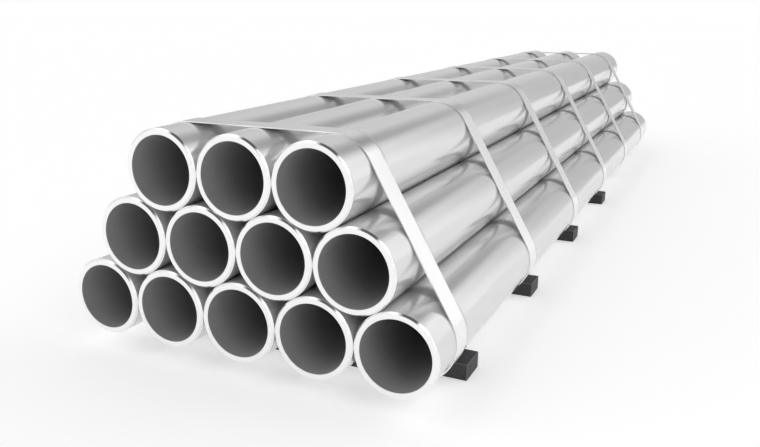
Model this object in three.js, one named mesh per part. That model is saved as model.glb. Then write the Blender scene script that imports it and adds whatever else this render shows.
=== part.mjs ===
// A stack of thick-walled stainless steel tubes. Rows of five, four and three lie each in the hollows
// of the row below, six flat steel straps bind them, and bearers across the floor carry them.
//
// Millimetres. X runs across the rows, Y along the tubes with the front ends at -Y, and Z is up from
// the floor. The origin is on the floor, under the middle of the stack.
import * as THREE from 'three';

// Tubes: seamless, cut square, with the outer edge of each end chamfered and the bore deburred.
const tubeDiameter = 219.1;
const tubeWall = 17.5;
const tubeLength = 4000;
const endChamfer = 4.8;
const boreDeburr = 1;
const rows = [
  { name: 'bottom', tubes: 5 },
  { name: 'middle', tubes: 4 },
  { name: 'top', tubes: 3 },
];

// Straps: flat bright steel strip drawn tight round the outside of the stack.
const strapWidth = 72;
const strapThickness = 3;
const strapCount = 6;
const frontEndToStrap = 151; // to the middle of the first strap
const strapSpacing = 715;

// Bearers: equal planks laid flat, one behind each strap. The first four were pushed in from the
// right, the rest from the left, so each line of them starts just inside the outer tube.
const bearerLength = 1000;
const bearerWidth = 96;
const bearerHeight = 46;
const bearerRounding = 4;
const bearersFromRight = 4;
const outerTubeToBearerEnd = 12.5;
const strapToBearer = 125;
const strapToFirstBearer = 152;

// Pieces that touch keep a hair's gap, so that each stays a solid of its own.
const touchGap = 0.3;

// Facets
const tubeFacets = 48;
const facetAngle = 360 / tubeFacets;
const bearerEdgeFacets = 2;

// Worked out from the sizes above
const tubeRadius = tubeDiameter / 2;
const boreRadius = tubeRadius - tubeWall;
const tubePitch = tubeDiameter + touchGap;
const rowRise = tubePitch * Math.sqrt(3) / 2;
const bottomAxisHeight = bearerHeight + touchGap + tubeRadius;
const frontEnd = -tubeLength / 2;

const stainlessSteel = new THREE.MeshStandardMaterial({ color: 0xd4d5d6, metalness: 1, roughness: 0.28 });
const brightStrip = new THREE.MeshStandardMaterial({ color: 0xe2e2e2, metalness: 1, roughness: 0.3 });
const recycledPlastic = new THREE.MeshStandardMaterial({ color: 0x434447, metalness: 0, roughness: 0.75 });

const stack = new THREE.Group();

function addPiece(name, geometry, material) {
  const piece = new THREE.Mesh(geometry, material);
  piece.name = name;
  stack.add(piece);
  return piece;
}

// Points on an arc from one angle to another, in degrees, one step at most `step` apart.
function arc(centreX, centreY, radius, fromAngle, toAngle, step = facetAngle) {
  const steps = Math.ceil(Math.abs(toAngle - fromAngle) / step);
  return Array.from({ length: steps + 1 }, (_, i) => {
    const angle = THREE.MathUtils.degToRad(fromAngle + (toAngle - fromAngle) * i / steps);
    return new THREE.Vector2(centreX + radius * Math.cos(angle), centreY + radius * Math.sin(angle));
  });
}

// The tube's half section, as (distance from the axis, place along it): up the outside, over the far
// end, down the bore and round the near end back to where it began.
function tubeSection() {
  const farEnd = [
    new THREE.Vector2(tubeRadius, tubeLength / 2 - endChamfer),
    new THREE.Vector2(tubeRadius - endChamfer, tubeLength / 2),
    new THREE.Vector2(boreRadius + boreDeburr, tubeLength / 2),
    new THREE.Vector2(boreRadius, tubeLength / 2 - boreDeburr),
  ];
  const nearEnd = farEnd.map((point) => new THREE.Vector2(point.x, -point.y)).reverse();
  return [...farEnd, ...nearEnd, farEnd[0].clone()];
}

// Where the axis of a tube lies, counting rows from the floor and tubes from the left.
function tubeAxis(row, index) {
  return {
    x: (index - (rows[row].tubes - 1) / 2) * tubePitch,
    z: bottomAxisHeight + row * rowRise,
  };
}

function addTubes() {
  const geometry = new THREE.LatheGeometry(tubeSection(), tubeFacets);
  rows.forEach(({ name, tubes }, row) => {
    for (let index = 0; index < tubes; index += 1) {
      const axis = tubeAxis(row, index);
      const tube = addPiece(`tube_${name}_${index + 1}`, geometry, stainlessSteel);
      tube.position.set(axis.x, 0, axis.z);
    }
  });
}

// The line that a tight loop takes round the stack at a given distance from the axes of its four
// corner tubes, which it bends round. Its sides lie at 60 degrees, against a tube of every row.
function loopRoundStack(distance) {
  const bottom = tubeAxis(0, rows[0].tubes - 1);
  const top = tubeAxis(rows.length - 1, rows[rows.length - 1].tubes - 1);
  return [
    ...arc(bottom.x, bottom.z, distance, -90, 30),
    ...arc(top.x, top.z, distance, 30, 90),
    ...arc(-top.x, top.z, distance, 90, 150),
    ...arc(-bottom.x, bottom.z, distance, 150, 270),
  ];
}

function strapMiddle(index) {
  return frontEnd + frontEndToStrap + index * strapSpacing;
}

function addStraps() {
  const insideLoop = tubeRadius + touchGap;
  const loop = new THREE.Shape(loopRoundStack(insideLoop + strapThickness));
  loop.holes.push(new THREE.Path(loopRoundStack(insideLoop).reverse()));
  const geometry = new THREE.ExtrudeGeometry(loop, { depth: strapWidth, bevelEnabled: false });
  geometry.rotateX(Math.PI / 2);
  for (let index = 0; index < strapCount; index += 1) {
    const strap = addPiece(`strap_${index + 1}`, geometry, brightStrip);
    strap.position.y = strapMiddle(index) + strapWidth / 2;
  }
}

// A plank with every edge rounded: its section across, drawn out along its length.
function bearerGeometry() {
  const x = bearerWidth / 2 - bearerRounding;
  const y = bearerHeight / 2 - bearerRounding;
  const step = 90 / bearerEdgeFacets;
  const section = new THREE.Shape([
    ...arc(x, -y, bearerRounding, -90, 0, step),
    ...arc(x, y, bearerRounding, 0, 90, step),
    ...arc(-x, y, bearerRounding, 90, 180, step),
    ...arc(-x, -y, bearerRounding, 180, 270, step),
  ]);
  const geometry = new THREE.ExtrudeGeometry(section, {
    depth: bearerLength - 2 * bearerRounding,
    bevelThickness: bearerRounding,
    bevelSize: bearerRounding / 2,
    bevelOffset: -bearerRounding / 2,
    bevelSegments: bearerEdgeFacets,
  });
  geometry.center();
  return geometry;
}

function addBearers() {
  const geometry = bearerGeometry();
  const outerTubeEdge = tubeAxis(0, rows[0].tubes - 1).x + tubeRadius;
  const sideways = outerTubeEdge - outerTubeToBearerEnd - bearerLength / 2;
  for (let index = 0; index < strapCount; index += 1) {
    const behindStrap = index === 0 ? strapToFirstBearer : strapToBearer;
    const bearer = addPiece(`bearer_${index + 1}`, geometry, recycledPlastic);
    bearer.rotation.set(Math.PI / 2, Math.PI / 2, 0);
    bearer.position.set(
      index < bearersFromRight ? sideways : -sideways,
      strapMiddle(index) + behindStrap,
      bearerHeight / 2,
    );
  }
}

addTubes();
addStraps();
addBearers();

export default stack;
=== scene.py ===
"""A stack of thick-walled stainless steel tubes, strapped together on plastic bearers.

Twelve tubes lie in rows of five, four and three. Each is dressed here with a finely turned copy of its
solid, polished outside, bright on its machined ends and matt in its pickled bore. The six straps are
flat bright steel strip and the six bearers are planks of recycled plastic.

Everything is in metres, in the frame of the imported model.
"""
import math

import bpy
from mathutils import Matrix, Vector


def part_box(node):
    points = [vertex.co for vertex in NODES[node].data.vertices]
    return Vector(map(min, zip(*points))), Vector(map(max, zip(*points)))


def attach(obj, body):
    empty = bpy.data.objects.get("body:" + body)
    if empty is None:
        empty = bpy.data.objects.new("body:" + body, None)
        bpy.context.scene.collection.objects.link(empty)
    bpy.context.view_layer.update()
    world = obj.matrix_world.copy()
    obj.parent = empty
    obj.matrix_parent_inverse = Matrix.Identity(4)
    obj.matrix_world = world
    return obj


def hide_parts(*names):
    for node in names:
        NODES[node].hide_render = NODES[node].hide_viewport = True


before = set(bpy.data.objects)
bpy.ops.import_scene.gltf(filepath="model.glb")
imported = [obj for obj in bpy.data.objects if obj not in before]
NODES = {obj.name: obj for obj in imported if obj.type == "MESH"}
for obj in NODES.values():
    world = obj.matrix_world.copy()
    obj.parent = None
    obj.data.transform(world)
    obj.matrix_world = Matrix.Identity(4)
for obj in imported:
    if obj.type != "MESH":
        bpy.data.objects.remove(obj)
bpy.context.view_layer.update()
MM = 0.001

# Tubes
END_CHAMFER = 4.8 * MM
BORE_DEBURR = 1.0 * MM
BROKEN_EDGE = 1.2 * MM  # radius to which the edges on each side of the chamfer are rounded
TUBE_SEGMENTS = 160
TUBE_EDGE_SEGMENTS = 3
OUTSIDE, CHAMFER, FACE, BORE = range(4)  # a tube's finishes, in the order of its material slots
CORNER_TUBES = ("tube_bottom_5", "tube_top_3")  # the two on the right that the straps bend round

# Straps
TOUCH_GAP = 0.1 * MM  # between a strap and the tubes
STRAP_THICKNESS = 3.2 * MM  # with the gap, this brings its outer face to where the solid's is
STRAP_EDGE_RADIUS = 0.5 * MM
STRAP_EDGE_SEGMENTS = 4
STRAP_BEND_STEP = math.radians(2.5)
STRAP_SHARP_ANGLE = 50.0

# Bearers
BEARER_ROUNDING = 2.0 * MM
BEARER_EDGE_SEGMENTS = 5
BEARER_END_SEGMENTS = 4

# Painted shade on the tubes under each strap: a dull grey band that stands in for the shade there
SHADE_BEHIND_MIDDLE = 15.0 * MM
SHADE_CORE = 12.0 * MM  # half width, where the painted shade starts to fade
SHADE_EDGE = 45.0 * MM  # half width, where it ends
SHADE_GREY = "B4B4B4"
SHADE_METALLIC = 0.15
SHADE_ROUGHNESS = 0.45

# Marks and clouds in the finishes, as how many fit in a metre. Where real ones are too fine to show,
# they are drawn as coarse as they need to be.
POLISHING_LINES = 500.0  # 2 mm apart, and about 0.1 mm on a real tube
POLISHING_CLOUDS = 3.0  # 0.3 m across, where the belt bore harder or less hard on the tube
CHAMFER_CUTS = 1100.0  # 0.9 mm apart, and about 0.2 mm on a real chamfer
FACE_CUTS = 1400.0  # 0.7 mm apart, and about 0.2 mm on a real end face
DRAWING_LINES = 160.0  # 6 mm apart, and about 1 mm in a real bore
PICKLING_CLOUDS = 24.0  # 40 mm across, as acid leaves them in a real bore
ROLLING_LINES = 500.0  # 2 mm apart, and less than 0.1 mm on a real strip
ROLLING_LINE_ENDS = 4.0  # each line is 250 mm long
ROLLING_CLOUDS = 7.0  # 140 mm across, twice the strip's width
PLASTIC_MOTTLE = 85.0  # 12 mm across, as the larger flakes are
PLASTIC_FLECKS = 260.0  # 4 mm across, as the smallest flakes are

# How much more slowly lines change along a tube than across it: either kind is about 0.3 m long
POLISHING_DRAWN_OUT = 0.006
DRAWING_DRAWN_OUT = 0.02
PATTERNS_APART = 40.0  # metres within which each tube's pattern is shifted, so that no two are alike

# Studio, as (angle in degrees, brightness) seen from the stack, where white paper in full light is 1.
# The walls go all the way round, from the far end (0) by the right (90) to the camera's side (180). The
# dark stretch before 180 draws the thin grey line between each end face and its chamfer.
WALLS = [
    (-180, 0.50), (-172, 0.60), (-164, 0.80), (-150, 1.15), (-120, 1.00), (-90, 0.85), (-60, 0.67),
    (-40, 0.56), (-12, 0.68), (4, 0.54), (10, 0.50), (14, 0.53), (18, 0.71), (22, 1.04), (28, 1.28),
    (34, 0.97), (42, 0.48), (60, 0.30), (95, 0.30), (113, 1.10), (142, 1.10), (148, 0.15), (180, 0.15),
]
# Each ceiling goes from the right (0) up over the stack (90) and down to the left (180). The bands of
# the far one show along the tubes. The near one is dark on the right, which darkens the upper right of
# each chamfer, and bright on the left.
FAR_CEILING = [
    (0, 0.10), (20, 0.57), (30, 1.15), (38, 1.65), (50, 1.45), (58, 0.92), (66, 0.68), (71, 0.34),
    (76, 0.25), (82, 0.21), (92, 0.28), (102, 0.48), (114, 0.69), (135, 0.66), (180, 0.55),
]
NEAR_CEILING = [(0, 0.12), (100, 0.12), (113, 1.50), (121, 1.60), (180, 1.60)]
FAR_WALL_TOP = (13.0, 28.0)  # the heights in degrees between which wall turns into ceiling
NEAR_WALL_TOP = (50.0, 55.0)
CEILING_SEAM = 0.25  # how far to either side of overhead near turns into far, as a part of a unit vector
RAMP_TOP = 2.0  # the brightness that white stands for in a ramp

# Floor
FLOOR_REACH = 60.0
FLOOR_PAINT = 0.9  # the share of the light that the floor gives back
FLOOR_GLOW = 0.40  # what it adds to that in the camera and in metal, to show white there

# Key lamp, at the right front
KEY_PLACE = (1.7, -3.1, 1.6)
KEY_AIM = (0.3, -1.8, 0.3)
KEY_SIZE = 0.9
KEY_POWER = 2.0

# Camera, off the stack's right front corner
CAMERA_PLACE = (1.0828, -3.5507, 0.9396)
CAMERA_TURN = (74.304, 0.091, 26.912)
CAMERA_REACH = 300.0
LENS = 37.202
SENSOR = 36.0
SHIFT_X = 0.0535
SHIFT_Y = 0.0047


# ---------------------------------------------------------------- small helpers

def srgb(text):
    """A hex colour such as "8E8F90" as linear red, green, blue and alpha."""
    parts = [int(text[i:i + 2], 16) / 255 for i in (0, 2, 4)]
    return [p / 12.92 if p <= 0.04045 else ((p + 0.055) / 1.055) ** 2.4 for p in parts] + [1.0]


def grey(value):
    """A neutral linear colour."""
    return [value, value, value, 1.0]


def add(tree, kind, settings=None, stops=(), **inputs):
    """Adds a node: settings are its properties, stops the (place, value) pairs of a ramp, and each input
    is a value or another node's output. An input is named by its socket, with _ for a space, or by its
    number as in0, in1 and so on."""
    node = tree.nodes.new(kind)
    for name, value in (settings or {}).items():
        setattr(node, name, value)
    for place, _ in stops[1:-1]:
        node.color_ramp.elements.new(place)
    for i, (place, value) in enumerate(stops):
        node.color_ramp.elements[i].position = place
        node.color_ramp.elements[i].color = grey(value)
    for name, value in inputs.items():
        if name[:2] == "in" and name[2:].isdigit():
            socket = node.inputs[int(name[2:])]
        else:
            socket = node.inputs[name.replace("_", " ")]
        if isinstance(value, bpy.types.NodeSocket):
            tree.links.new(value, socket)
        else:
            socket.default_value = value
    return node


def new_material(name):
    """An empty material and its node tree."""
    material = bpy.data.materials.new(name)
    material.use_nodes = True
    material.node_tree.nodes.clear()
    return material, material.node_tree


def finish_material(tree, shader):
    add(tree, "ShaderNodeOutputMaterial", Surface=shader)


def nodes_of(kind):
    """The names of the CAD nodes of one kind, such as "tube", in order."""
    return sorted(name for name in NODES if name.startswith(kind + "_"))


def arc(centre_a, centre_b, radius, start, end, segments):
    """Points on an arc in the plane of two axes, angles in radians."""
    points = []
    for i in range(segments + 1):
        angle = start + (end - start) * i / segments
        points.append((centre_a + radius * math.cos(angle), centre_b + radius * math.sin(angle)))
    return points


def rounded_section(low, high, radius, segments):
    """The section of a bar from its low to its high corner, with each edge rounded to the radius."""
    left, right = low[0] + radius, high[0] - radius
    bottom, top = low[1] + radius, high[1] - radius
    points = []
    for turn, (a, b) in enumerate([(right, top), (left, top), (left, bottom), (right, bottom)]):
        start = turn * math.pi / 2
        points += arc(a, b, radius, start, start + math.pi / 2, segments)
    return points


def skin(rings, ring_size, closed):
    """Faces between each ring of points and the next, and from the last to the first where closed. They
    look along the cross product of the way round a ring and the way to the next."""
    faces = []
    for ring in range(rings if closed else rings - 1):
        here = ring * ring_size
        there = (ring + 1) % rings * ring_size
        for p in range(ring_size):
            q = (p + 1) % ring_size
            faces.append((here + p, here + q, there + q, there + p))
    return faces


def new_piece(name, vertices, faces, materials, face_material=None, smooth_angle=30.0):
    """A mesh, smooth but for the edges that turn by more than smooth_angle degrees."""
    mesh = bpy.data.meshes.new(name)
    mesh.from_pydata(vertices, [], faces)
    for material in materials:
        mesh.materials.append(material)
    if face_material:
        mesh.polygons.foreach_set("material_index", face_material)
    mesh.shade_smooth()
    mesh.set_sharp_from_angle(angle=math.radians(smooth_angle))
    mesh.update()
    piece = bpy.data.objects.new(name, mesh)
    bpy.context.scene.collection.objects.link(piece)
    flats = piece.modifiers.new("flats_stay_flat", "WEIGHTED_NORMAL")
    flats.keep_sharp = True
    return piece


def stands_for(piece, node):
    """The piece takes the place of a CAD node, which is hidden, and moves with the body."""
    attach(piece, "root")
    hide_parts(node)


# ---------------------------------------------------------------- materials

def strap_places():
    """Where the middle of the first strap lies along the stack, and the distance from each to the next."""
    middles = sorted(sum(corner.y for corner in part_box(strap)) / 2 for strap in nodes_of("strap"))
    return middles[0], (middles[-1] - middles[0]) / (len(middles) - 1)


def painted_shade_under_straps(tree, place):
    """How strong the painted shade is at a place on a tube: 1 behind the middle of each strap, and 0 away
    from it.
    """
    first, spacing = strap_places()
    along = add(tree, "ShaderNodeSeparateXYZ", Vector=place).outputs["Y"]
    past_first = add(tree, "ShaderNodeMath", {"operation": "SUBTRACT"}, in0=along,
                     in1=first + SHADE_BEHIND_MIDDLE)
    from_middle = add(tree, "ShaderNodeMath", {"operation": "PINGPONG"}, in0=past_first.outputs[0],
                      in1=spacing / 2)
    shade_strength = add(tree, "ShaderNodeMapRange", {"interpolation_type": "SMOOTHSTEP"},
               Value=from_middle.outputs[0], From_Min=SHADE_CORE, From_Max=SHADE_EDGE, To_Min=1.0, To_Max=0.0)
    return shade_strength.outputs["Result"]


def polished_stainless():
    """Seamless stainless steel tube, pickled and then polished lengthwise. The polish mirrors its
    surroundings nearly sharply, and the tooth that the pickling left under it scatters the other half of
    the light, so the metal stays pale in the hollows between the tubes. Polishing lines run along the
    tube. Under each strap, and most of all behind its middle, shade is painted on: the tube turns a dull,
    less mirroring grey there, which stands in for the strap's shadow."""
    material, tree = new_material("polished_stainless_steel")
    place = add(tree, "ShaderNodeTexCoord").outputs["Object"]
    which = add(tree, "ShaderNodeObjectInfo").outputs["Random"]
    apart = add(tree, "ShaderNodeMath", {"operation": "MULTIPLY"}, in0=which, in1=PATTERNS_APART)
    own = add(tree, "ShaderNodeVectorMath", {"operation": "ADD"}, in0=place, in1=apart.outputs[0])
    drawn_out = add(tree, "ShaderNodeMapping", Vector=own.outputs[0], Scale=(1.0, POLISHING_DRAWN_OUT, 1.0))
    lines = add(tree, "ShaderNodeTexNoise", Vector=drawn_out.outputs[0], Scale=POLISHING_LINES, Detail=1.0)
    cloud = add(tree, "ShaderNodeTexNoise", Vector=own.outputs[0], Scale=POLISHING_CLOUDS, Detail=2.0)
    clean_rough = add(tree, "ShaderNodeMapRange", Value=lines.outputs["Fac"], From_Min=0.3, From_Max=0.7,
                      To_Min=0.14, To_Max=0.17)
    clean_tint = add(tree, "ShaderNodeMix", {"data_type": "RGBA"}, Factor=cloud.outputs["Fac"],
                     in6=srgb("EDEDED"), in7=srgb("EEEEEE"))
    # Painted shade: under each strap the tube is mixed towards a dull grey, less metallic and rougher
    shade_strength = painted_shade_under_straps(tree, place)
    tint = add(tree, "ShaderNodeMix", {"data_type": "RGBA"}, Factor=shade_strength, in6=clean_tint.outputs[2],
               in7=srgb(SHADE_GREY))
    metal = add(tree, "ShaderNodeMapRange", Value=shade_strength, To_Min=0.5, To_Max=SHADE_METALLIC)
    rough = add(tree, "ShaderNodeMix", Factor=shade_strength, in2=clean_rough.outputs["Result"], in3=SHADE_ROUGHNESS)
    steel = add(tree, "ShaderNodeBsdfPrincipled", Base_Color=tint.outputs[2],
                Metallic=metal.outputs["Result"], Roughness=rough.outputs[0])
    finish_material(tree, steel.outputs[0])
    return material


def turned_chamfer():
    """The chamfer round the tube's end, cut with a sharp tool at high speed: nearly a mirror."""
    material, tree = new_material("turned_stainless_chamfer")
    place = add(tree, "ShaderNodeTexCoord").outputs["Object"]
    along = add(tree, "ShaderNodeSeparateXYZ", Vector=place).outputs["Y"]
    cuts = add(tree, "ShaderNodeTexNoise", {"noise_dimensions": "1D"}, W=along, Scale=CHAMFER_CUTS,
               Detail=1.0)
    rough = add(tree, "ShaderNodeMapRange", Value=cuts.outputs["Fac"], To_Min=0.08, To_Max=0.16)
    bump = add(tree, "ShaderNodeBump", Strength=0.03, Distance=0.1 * MM, Height=cuts.outputs["Fac"])
    chamfer = add(tree, "ShaderNodeBsdfPrincipled", Base_Color=srgb("F2F2F2"), Metallic=1.0,
                  Roughness=rough.outputs["Result"], Normal=bump.outputs["Normal"])
    finish_material(tree, chamfer.outputs[0])
    return material


def machined_face():
    """The tube's end, faced on a lathe: bright and satin, with fine turning marks round the bore."""
    material, tree = new_material("machined_stainless_face")
    place = add(tree, "ShaderNodeTexCoord").outputs["Object"]
    across = add(tree, "ShaderNodeMapping", Vector=place, Scale=(1.0, 0.0, 1.0))
    radius = add(tree, "ShaderNodeVectorMath", {"operation": "LENGTH"}, in0=across.outputs["Vector"])
    turns = add(tree, "ShaderNodeTexNoise", {"noise_dimensions": "1D"}, W=radius.outputs["Value"],
                Scale=FACE_CUTS, Detail=2.0)
    rough = add(tree, "ShaderNodeMapRange", Value=turns.outputs["Fac"], To_Min=0.28, To_Max=0.42)
    bump = add(tree, "ShaderNodeBump", Strength=0.12, Distance=0.2 * MM, Height=turns.outputs["Fac"])
    face = add(tree, "ShaderNodeBsdfPrincipled", Base_Color=srgb("FAFAFA"), Metallic=1.0,
               Roughness=rough.outputs["Result"], Normal=bump.outputs["Normal"])
    finish_material(tree, face.outputs[0])
    return material


def pickled_bore():
    """The inside of the tube, left as the acid bath left it: matt and dark grey, a little cloudy, with
    faint drawing lines along it."""
    material, tree = new_material("pickled_stainless_bore")
    place = add(tree, "ShaderNodeTexCoord").outputs["Object"]
    drawn_out = add(tree, "ShaderNodeMapping", Vector=place, Scale=(1.0, DRAWING_DRAWN_OUT, 1.0))
    lines = add(tree, "ShaderNodeTexNoise", Vector=drawn_out.outputs["Vector"], Scale=DRAWING_LINES,
                Detail=3.0)
    cloud = add(tree, "ShaderNodeTexNoise", Vector=place, Scale=PICKLING_CLOUDS, Detail=4.0)
    both = add(tree, "ShaderNodeMath", {"operation": "MULTIPLY"}, in0=lines.outputs["Fac"],
               in1=cloud.outputs["Fac"])
    blend = add(tree, "ShaderNodeMapRange", Value=both.outputs[0], From_Min=0.1, From_Max=0.45)
    tint = add(tree, "ShaderNodeMix", {"data_type": "RGBA"}, Factor=blend.outputs["Result"],
               in6=srgb("A8A8A8"), in7=srgb("AFAFAF"))
    bump = add(tree, "ShaderNodeBump", Strength=0.05, Distance=0.3 * MM, Height=both.outputs[0])
    bore = add(tree, "ShaderNodeBsdfPrincipled", Base_Color=tint.outputs[2], Metallic=0.15,
               Roughness=0.7, Normal=bump.outputs["Normal"])
    finish_material(tree, bore.outputs[0])
    return material


def bright_steel_strip():
    """Cold-rolled steel strip, bright as it left the polished rolls: a softer mirror than the tubes, even
    and clean, with rolling lines along the strap so faint that they show only close by."""
    material, tree = new_material("bright_rolled_steel_strip")
    uv = add(tree, "ShaderNodeTexCoord").outputs["UV"]
    drawn_out = add(tree, "ShaderNodeMapping", Vector=uv, Scale=(ROLLING_LINE_ENDS, ROLLING_LINES, 1.0))
    lines = add(tree, "ShaderNodeTexNoise", {"noise_dimensions": "2D"}, Vector=drawn_out.outputs[0],
                Scale=1.0, Detail=2.0)
    cloud = add(tree, "ShaderNodeTexNoise", {"noise_dimensions": "2D"}, Vector=uv, Scale=ROLLING_CLOUDS,
                Detail=3.0)
    rough = add(tree, "ShaderNodeMapRange", Value=lines.outputs["Fac"], From_Min=0.3, From_Max=0.7,
                To_Min=0.22, To_Max=0.27)
    tint = add(tree, "ShaderNodeMix", {"data_type": "RGBA"}, Factor=cloud.outputs["Fac"],
               in6=srgb("F4F4F4"), in7=srgb("FAFAFA"))
    bump = add(tree, "ShaderNodeBump", Strength=0.02, Distance=0.1 * MM, Height=lines.outputs["Fac"])
    strip = add(tree, "ShaderNodeBsdfPrincipled", Base_Color=tint.outputs[2], Metallic=1.0,
                Roughness=rough.outputs["Result"], Normal=bump.outputs["Normal"])
    finish_material(tree, strip.outputs[0])
    return material


def worn_and_highlit_edges(tree):
    """1 on the rounded edges of a bearer, where it is paler from wear and a painted highlight, and 0 on its
    flats. A flat faces squarely along one axis, so the largest part of its normal is 1, and an edge leans
    between two."""
    normal = add(tree, "ShaderNodeNewGeometry").outputs["Normal"]
    lean = add(tree, "ShaderNodeVectorMath", {"operation": "ABSOLUTE"}, in0=normal)
    parts = add(tree, "ShaderNodeSeparateXYZ", Vector=lean.outputs[0]).outputs
    larger = add(tree, "ShaderNodeMath", {"operation": "MAXIMUM"}, in0=parts[0], in1=parts[1])
    largest = add(tree, "ShaderNodeMath", {"operation": "MAXIMUM"}, in0=larger.outputs[0], in1=parts[2])
    wear_and_highlight = add(tree, "ShaderNodeMapRange", Value=largest.outputs[0], From_Min=0.80, From_Max=0.98,
                 To_Min=1.0, To_Max=0.0)
    return wear_and_highlight.outputs["Result"]


def moulded_recycled_plastic():
    """Plank moulded from recycled polyolefin, charcoal: matt and a little mottled where flakes of other
    plastic melted in, and paler along its rounded edges, partly from rubbing and partly as a painted
    highlight."""
    material, tree = new_material("moulded_recycled_plastic")
    place = add(tree, "ShaderNodeTexCoord").outputs["Object"]
    mottle = add(tree, "ShaderNodeTexNoise", Vector=place, Scale=PLASTIC_MOTTLE, Detail=4.0, Roughness=0.6)
    flecks = add(tree, "ShaderNodeTexVoronoi", Vector=place, Scale=PLASTIC_FLECKS)
    blend = add(tree, "ShaderNodeMapRange", Value=mottle.outputs["Fac"], From_Min=0.35, From_Max=0.7)
    moulded = add(tree, "ShaderNodeMix", {"data_type": "RGBA"}, Factor=blend.outputs["Result"],
                  in6=srgb("323235"), in7=srgb("3F3F42"))
    # Paler rounded edges: partly rubbed wear, partly a painted highlight along each edge
    tint = add(tree, "ShaderNodeMix", {"data_type": "RGBA"}, Factor=worn_and_highlit_edges(tree),
               in6=moulded.outputs[2], in7=srgb("8A8A8D"))
    height = add(tree, "ShaderNodeMath", {"operation": "ADD"}, in0=mottle.outputs["Fac"],
                 in1=flecks.outputs["Distance"])
    bump = add(tree, "ShaderNodeBump", Strength=0.3, Distance=0.8 * MM, Height=height.outputs[0])
    plastic = add(tree, "ShaderNodeBsdfPrincipled", Base_Color=tint.outputs[2], Roughness=0.6,
                  Normal=bump.outputs["Normal"])
    finish_material(tree, plastic.outputs[0])
    return material


# ---------------------------------------------------------------- tubes

def tube_measures(node):
    """Axis x and z, outer and bore radius and the half length of a tube's solid."""
    low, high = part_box(node)
    axis_x, axis_z = (low.x + high.x) / 2, (low.z + high.z) / 2
    bore = min(math.hypot(v.co.x - axis_x, v.co.z - axis_z) for v in NODES[node].data.vertices)
    return axis_x, axis_z, (high.x - low.x) / 2, bore, (high.y - low.y) / 2


def tube_section(outer, bore, half):
    """Half section of a tube as points (radius, y), each with the finish of the stretch after it: over
    the far end, down the bore, over the near end and back along the outside."""
    quarter, eighth = math.pi / 2, math.pi / 4
    reach = BROKEN_EDGE * math.tan(eighth / 2)
    outer_edge = arc(outer - BROKEN_EDGE, half - END_CHAMFER - reach, BROKEN_EDGE, 0, eighth,
                     TUBE_EDGE_SEGMENTS)
    inner_edge = arc(outer - END_CHAMFER - reach, half - BROKEN_EDGE, BROKEN_EDGE, eighth, quarter,
                     TUBE_EDGE_SEGMENTS)
    deburr = arc(bore + BORE_DEBURR, half - BORE_DEBURR, BORE_DEBURR, quarter, math.pi,
                 TUBE_EDGE_SEGMENTS)
    far = [(r, y, CHAMFER) for r, y in outer_edge + inner_edge[:-1]]
    far += [(r, y, FACE) for r, y in inner_edge[-1:] + deburr[:-1]]
    far.append((*deburr[-1], BORE))
    near = [(r, -y) for r, y, _ in reversed(far)]
    finishes = [finish for _, _, finish in reversed(far[:-1])] + [OUTSIDE]
    return far + [(r, y, finish) for (r, y), finish in zip(near, finishes)]


def make_tube(node, finishes):
    """A tube's half section, turned round its axis."""
    axis_x, axis_z, outer, bore, half = tube_measures(node)
    section = tube_section(outer, bore, half)
    vertices = []
    for s in range(TUBE_SEGMENTS):
        angle = 2 * math.pi * s / TUBE_SEGMENTS
        vertices += [(r * math.cos(angle), y, r * math.sin(angle)) for r, y, _ in section]
    faces = skin(TUBE_SEGMENTS, len(section), closed=True)
    face_finishes = [finish for _, _, finish in section] * TUBE_SEGMENTS
    piece = new_piece(node + "_steel", vertices, faces, finishes, face_finishes)
    piece.location = (axis_x, 0, axis_z)
    stands_for(piece, node)


def make_tubes():
    finishes = [polished_stainless(), turned_chamfer(), machined_face(), pickled_bore()]
    for node in nodes_of("tube"):
        make_tube(node, finishes)


# ---------------------------------------------------------------- straps

def strap_path():
    """The line of a strap's inner face, tight round the four corner tubes, as points (x, z) and the way
    out of the stack there, (normal x, normal z)."""
    (bottom_x, bottom_z, outer), (top_x, top_z, _) = [tube_measures(tube)[:3] for tube in CORNER_TUBES]
    radius = outer + TOUCH_GAP
    corners = [
        (bottom_x, bottom_z, -90, 30),
        (top_x, top_z, 30, 90),
        (-top_x, top_z, 90, 150),
        (-bottom_x, bottom_z, 150, 270),
    ]
    path = []
    for x, z, start, end in corners:
        start, end = math.radians(start), math.radians(end)
        steps = round((end - start) / STRAP_BEND_STEP)
        for i in range(steps + 1):
            angle = start + (end - start) * i / steps
            nx, nz = math.cos(angle), math.sin(angle)
            path.append((x + radius * nx, z + radius * nz, nx, nz))
    return path


def lay_out_strip(piece, path, section):
    """UVs in metres, as (along the strap, across it), so that the rolling lines run along it."""
    along = [0.0]
    for here, there in zip(path, path[1:] + path[:1]):
        along.append(along[-1] + math.hypot(there[0] - here[0], there[1] - here[1]))
    uv = piece.data.uv_layers.new(name="along_and_across")
    size = len(section)
    for face in piece.data.polygons:
        i, p = divmod(face.index, size)
        q = (p + 1) % size
        corners = ((i, p), (i, q), (i + 1, q), (i + 1, p))
        for loop, (ring, point) in zip(face.loop_indices, corners):
            uv.data[loop].uv = (along[ring], section[point][0])


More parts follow.
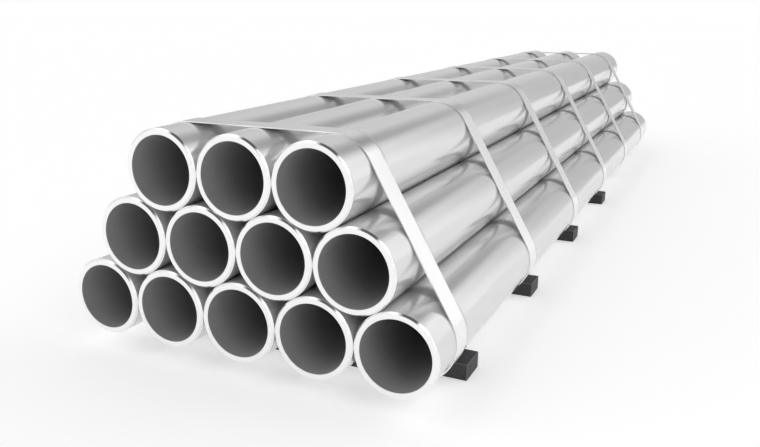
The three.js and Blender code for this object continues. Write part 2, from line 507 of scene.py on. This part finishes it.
def make_strap(node, material):
    """A flat strip with rounded edges, swept round the stack."""
    low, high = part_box(node)
    middle, half = (low.y + high.y) / 2, (high.y - low.y) / 2
    path = strap_path()
    section = rounded_section((-half, 0), (half, STRAP_THICKNESS), STRAP_EDGE_RADIUS, STRAP_EDGE_SEGMENTS)
    section.reverse()  # so that the strap's faces look outwards
    vertices = []
    for x, z, nx, nz in path:
        vertices += [(x + nx * h, middle + y, z + nz * h) for y, h in section]
    faces = skin(len(path), len(section), closed=True)
    piece = new_piece(node + "_strip", vertices, faces, [material], smooth_angle=STRAP_SHARP_ANGLE)
    lay_out_strip(piece, path, section)
    stands_for(piece, node)


def make_straps():
    material = bright_steel_strip()
    for node in nodes_of("strap"):
        make_strap(node, material)


# ---------------------------------------------------------------- bearers

def bearer_stations(length):
    """Places along a bearer, each with how far its sides draw in there to round off the ends."""
    stations = []
    for step in range(BEARER_END_SEGMENTS, -1, -1):
        angle = math.pi / 2 * step / BEARER_END_SEGMENTS
        past_end = BEARER_ROUNDING * (1 - math.sin(angle))
        inset = BEARER_ROUNDING * (1 - math.cos(angle))
        stations.append((-length / 2 + past_end, inset))
    return stations + [(-x, inset) for x, inset in reversed(stations)]


def make_bearer(node, material):
    """A plank with all its edges rounded, drawn out along its length and closed at both ends."""
    low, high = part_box(node)
    size = high - low
    half_y, half_z = size.y / 2, size.z / 2
    section = rounded_section((-half_y, -half_z), (half_y, half_z), BEARER_ROUNDING, BEARER_EDGE_SEGMENTS)
    stations = bearer_stations(size.x)
    vertices = []
    for x, inset in stations:
        vertices += [(x, y * (1 - inset / half_y), z * (1 - inset / half_z)) for y, z in section]
    faces = skin(len(stations), len(section), closed=False)
    last_ring = (len(stations) - 1) * len(section)
    faces.append(tuple(reversed(range(len(section)))))
    faces.append(tuple(range(last_ring, last_ring + len(section))))
    piece = new_piece(node + "_plank", vertices, faces, [material])
    piece.location = (high + low) / 2
    stands_for(piece, node)


def make_bearers():
    material = moulded_recycled_plastic()
    for node in nodes_of("bearer"):
        make_bearer(node, material)


# ---------------------------------------------------------------- floor, light and camera

def make_floor():
    """A plain white floor. It keeps the stack's shadow, and shows white to the camera and in metal."""
    mesh = bpy.data.meshes.new("floor")
    reach = FLOOR_REACH
    mesh.from_pydata([(-reach, -reach, 0), (reach, -reach, 0), (reach, reach, 0), (-reach, reach, 0)], [],
                     [(0, 1, 2, 3)])
    material, tree = new_material("white_floor")
    rays = add(tree, "ShaderNodeLightPath").outputs
    seen = add(tree, "ShaderNodeMath", {"operation": "MAXIMUM"}, in0=rays["Is Camera Ray"],
               in1=rays["Is Glossy Ray"])
    strength = add(tree, "ShaderNodeMath", {"operation": "MULTIPLY"}, in0=seen.outputs[0], in1=FLOOR_GLOW)
    matt = add(tree, "ShaderNodeBsdfDiffuse", Color=grey(FLOOR_PAINT))
    glow = add(tree, "ShaderNodeEmission", Strength=strength.outputs[0])
    both = add(tree, "ShaderNodeAddShader", in0=matt.outputs[0], in1=glow.outputs[0])
    finish_material(tree, both.outputs[0])
    mesh.materials.append(material)
    floor = bpy.data.objects.new("floor", mesh)
    bpy.context.scene.collection.objects.link(floor)


def surroundings(tree, stops, across, ahead, lowest):
    """The brightness that a ramp gives to the angle of (across, ahead), from lowest to 180 degrees."""
    angle = add(tree, "ShaderNodeMath", {"operation": "ARCTAN2"}, in0=across, in1=ahead)
    place = add(tree, "ShaderNodeMapRange", Value=angle.outputs[0], From_Min=math.radians(lowest),
                From_Max=math.pi)
    span = 180 - lowest
    places = [((degrees - lowest) / span, level / RAMP_TOP) for degrees, level in stops]
    return add(tree, "ShaderNodeValToRGB", stops=places, Fac=place.outputs["Result"]).outputs["Color"]


def make_world():
    """Soft studio surroundings of walls and ceiling. The near ceiling turns into the far one across the
    middle of the stack, and the walls turn into ceiling higher up at the near end than at the far end.
    The camera sees plain white."""
    world = bpy.data.worlds.new("studio")
    world.use_nodes = True
    tree = world.node_tree
    tree.nodes.clear()
    way = add(tree, "ShaderNodeTexCoord").outputs["Generated"]
    x, y, z = add(tree, "ShaderNodeSeparateXYZ", Vector=way).outputs
    walls = surroundings(tree, WALLS, x, y, -180)
    far = surroundings(tree, FAR_CEILING, z, x, 0)
    near = surroundings(tree, NEAR_CEILING, z, x, 0)
    farness = add(tree, "ShaderNodeMapRange", {"interpolation_type": "SMOOTHSTEP"}, Value=y,
                  From_Min=-CEILING_SEAM, From_Max=CEILING_SEAM).outputs["Result"]
    ceiling = add(tree, "ShaderNodeMix", {"data_type": "RGBA"}, Factor=farness, in6=near, in7=far)
    height = add(tree, "ShaderNodeMath", {"operation": "ARCSINE"}, in0=z)
    wall_top = [
        add(tree, "ShaderNodeMapRange", Value=farness, To_Min=math.radians(near_edge),
            To_Max=math.radians(far_edge)).outputs["Result"]
        for near_edge, far_edge in zip(NEAR_WALL_TOP, FAR_WALL_TOP)
    ]
    above_wall = add(tree, "ShaderNodeMapRange", {"interpolation_type": "SMOOTHSTEP"},
                     Value=height.outputs[0], From_Min=wall_top[0], From_Max=wall_top[1])
    room = add(tree, "ShaderNodeMix", {"data_type": "RGBA"}, Factor=above_wall.outputs["Result"],
               in6=walls, in7=ceiling.outputs[2])
    rays = add(tree, "ShaderNodeLightPath").outputs
    studio = add(tree, "ShaderNodeBackground", Color=room.outputs[2], Strength=RAMP_TOP)
    white = add(tree, "ShaderNodeBackground", Color=grey(1.0), Strength=1.0)
    both = add(tree, "ShaderNodeMixShader", in0=rays["Is Camera Ray"], in1=studio.outputs[0],
               in2=white.outputs[0])
    add(tree, "ShaderNodeOutputWorld", Surface=both.outputs[0])
    bpy.context.scene.world = world


def make_key_lamp():
    """A weak soft lamp at the right front, which lifts the near end of the stack a little."""
    light = bpy.data.lights.new("key_right_front", "AREA")
    light.shape = "DISK"
    light.size = KEY_SIZE
    light.energy = KEY_POWER
    lamp = bpy.data.objects.new("key_right_front", light)
    lamp.location = KEY_PLACE
    lamp.rotation_euler = (Vector(KEY_AIM) - Vector(KEY_PLACE)).to_track_quat("-Z", "Y").to_euler()
    lamp.visible_camera = False
    bpy.context.scene.collection.objects.link(lamp)


def make_camera():
    data = bpy.data.cameras.new("camera")
    data.sensor_width = SENSOR
    data.lens = LENS
    data.shift_x = SHIFT_X
    data.shift_y = SHIFT_Y
    data.clip_end = CAMERA_REACH
    camera = bpy.data.objects.new("camera", data)
    camera.location = CAMERA_PLACE
    camera.rotation_euler = [math.radians(angle) for angle in CAMERA_TURN]
    bpy.context.scene.collection.objects.link(camera)
    bpy.context.scene.camera = camera


make_camera()
make_world()
make_key_lamp()
make_floor()
make_tubes()
make_straps()
make_bearers()

bpy.context.scene.view_settings.view_transform = "Standard"
